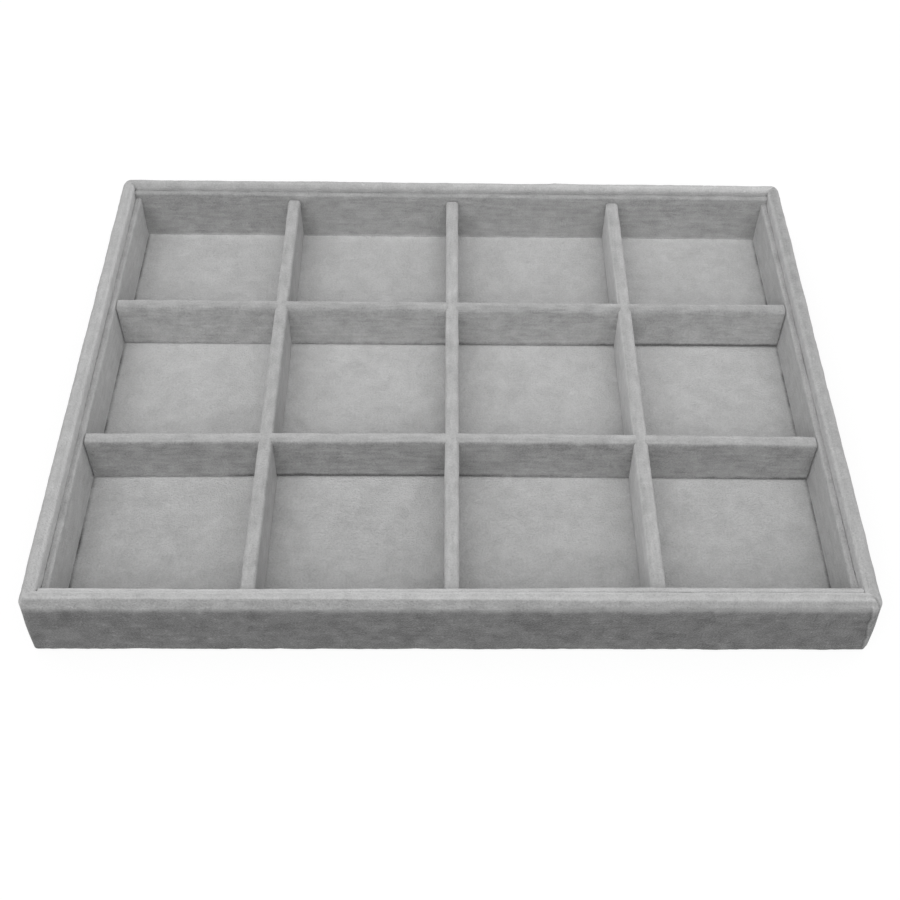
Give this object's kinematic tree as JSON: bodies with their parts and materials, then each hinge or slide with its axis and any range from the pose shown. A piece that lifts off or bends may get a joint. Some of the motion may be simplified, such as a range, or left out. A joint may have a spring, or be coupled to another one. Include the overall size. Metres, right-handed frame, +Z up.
{
  "type": "jewelry display tray",
  "caption": "Shallow velvet-covered jewelry display tray: padded rim, lined sides, and a lift-out half-lapped divider grid that makes open compartments.",
  "frame": {"origin": "centre of the underside, on the surface that the tray lies on", "axes": "+X along the length to the right, +Y along the depth to the back, +Z up"},
  "size_m": [0.31, 0.24, 0.031],
  "materials": {
    "rim_velvet": "short-pile grey velvet over foam",
    "lining_velvet": "short-pile grey velvet, brushed in cloudy patches",
    "divider_velvet": "short-pile grey velvet, glued round board",
    "board": "raw fibreboard",
    "hardboard": "thin hardboard",
    "card": "grey card",
    "foam": "open-cell foam strip",
    "cover_paper": "matt dark grey backing paper"
  },
  "bodies": {
    "tray": {"base_cover": "cover_paper", "base_board": "hardboard", "floor_card": "card", "floor_velvet": "lining_velvet", "rail_core_front": "board", "rail_pad_front": "foam", "rail_velvet_front": "rim_velvet", "liner_card_front": "card", "liner_velvet_front": "lining_velvet", "rail_core_right": "board", "rail_pad_right": "foam", "rail_velvet_right": "rim_velvet", "liner_card_right": "card", "liner_velvet_right": "lining_velvet", "rail_core_back": "board", "rail_pad_back": "foam", "rail_velvet_back": "rim_velvet", "liner_card_back": "card", "liner_velvet_back": "lining_velvet", "rail_core_left": "board", "rail_pad_left": "foam", "rail_velvet_left": "rim_velvet", "liner_card_left": "card", "liner_velvet_left": "lining_velvet"},
    "cross_dividers": {"cross_divider_core_front": "board", "cross_divider_velvet_front": "divider_velvet", "cross_divider_core_back": "board", "cross_divider_velvet_back": "divider_velvet"},
    "long_divider_left": {"long_divider_core_left": "board", "long_divider_velvet_left": "divider_velvet"},
    "long_divider_middle": {"long_divider_core_middle": "board", "long_divider_velvet_middle": "divider_velvet"},
    "long_divider_right": {"long_divider_core_right": "board", "long_divider_velvet_right": "divider_velvet"}
  },
  "joints": [
    {"name": "grid_lift", "type": "slide", "parent": "tray", "child": "cross_dividers", "axis": [0, 0, 1], "range_m": [0, 0.04]},
    {"name": "left_divider_lift", "type": "slide", "parent": "cross_dividers", "child": "long_divider_left", "axis": [0, 0, 1], "range_m": [0, 0.04]},
    {"name": "middle_divider_lift", "type": "slide", "parent": "cross_dividers", "child": "long_divider_middle", "axis": [0, 0, 1], "range_m": [0, 0.04]},
    {"name": "right_divider_lift", "type": "slide", "parent": "cross_dividers", "child": "long_divider_right", "axis": [0, 0, 1], "range_m": [0, 0.04]}
  ]
}
